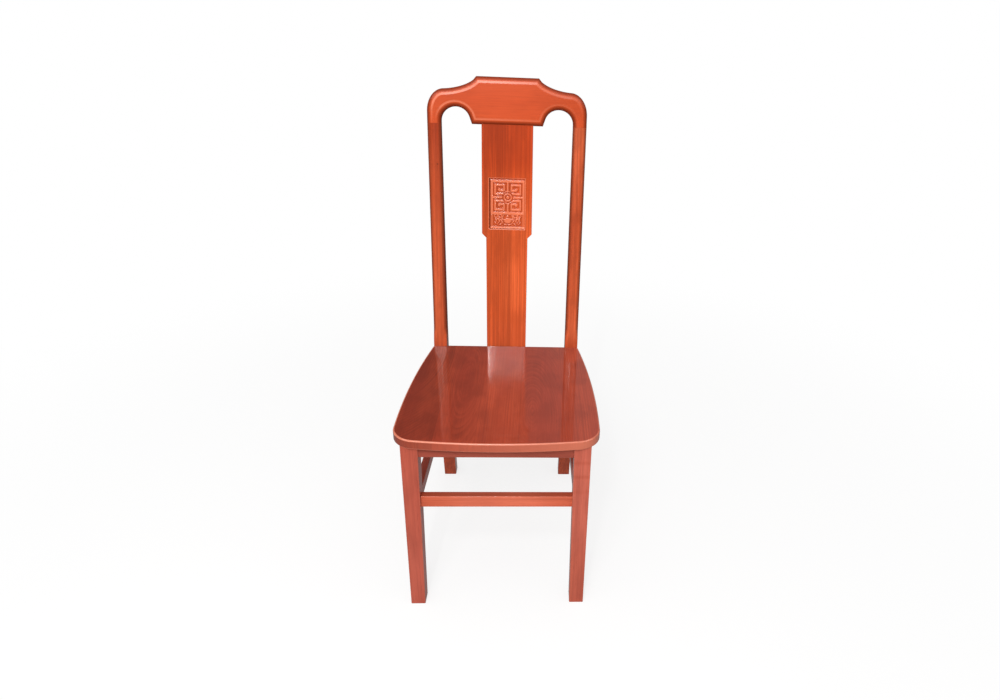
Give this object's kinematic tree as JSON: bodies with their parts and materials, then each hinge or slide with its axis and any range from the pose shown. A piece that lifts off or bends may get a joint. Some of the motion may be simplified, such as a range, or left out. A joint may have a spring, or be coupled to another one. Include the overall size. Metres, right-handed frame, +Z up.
{
  "type": "dining chair",
  "caption": "Solid wood dining chair with a flat bowed seat, raked back posts, a yoke crest rail and a stepped splat with a sunk panel of carved fretwork.",
  "frame": {"origin": "on the floor, under the middle of the chair's overall box", "axes": "+Z up; the chair faces -Y; +X is to the right when the chair is seen from in front"},
  "size_m": [0.4326, 0.5553, 1.11],
  "materials": {
    "crest_lacquer": "clear red-brown lacquer, glossy",
    "back_lacquer": "clear red-brown lacquer over straight grain, glossy",
    "seat_lacquer": "clear red-brown lacquer over flat-sawn grain, high gloss",
    "frame_lacquer": "clear red-brown lacquer, semi-gloss",
    "bare_wood": "bare sanded hardwood",
    "screw_steel": "zinc-plated steel"
  },
  "bodies": {
    "root": {"back_splat": "back_lacquer", "block_screw_front_left_cross": "screw_steel", "block_screw_front_left_side": "screw_steel", "block_screw_front_right_cross": "screw_steel", "block_screw_front_right_side": "screw_steel", "block_screw_rear_left_cross": "screw_steel", "block_screw_rear_left_side": "screw_steel", "block_screw_rear_right_cross": "screw_steel", "block_screw_rear_right_side": "screw_steel", "corner_block_front_left": "bare_wood", "corner_block_front_right": "bare_wood", "corner_block_rear_left": "bare_wood", "corner_block_rear_right": "bare_wood", "crest_dowel_left_inner": "bare_wood", "crest_dowel_left_outer": "bare_wood", "crest_dowel_right_inner": "bare_wood", "crest_dowel_right_outer": "bare_wood", "crest_rail": "crest_lacquer", "front_apron": "frame_lacquer", "front_leg_left": "frame_lacquer", "front_leg_right": "frame_lacquer", "front_stretcher": "frame_lacquer", "rear_apron": "frame_lacquer", "rear_post_left": "back_lacquer", "rear_post_right": "back_lacquer", "rear_stretcher": "frame_lacquer", "seat_board": "seat_lacquer", "seat_screw_front_left": "screw_steel", "seat_screw_front_right": "screw_steel", "seat_screw_rear_left": "screw_steel", "seat_screw_rear_right": "screw_steel", "side_apron_left": "frame_lacquer", "side_apron_right": "frame_lacquer", "side_stretcher_left": "frame_lacquer", "side_stretcher_right": "frame_lacquer"}
  },
  "joints": []
}
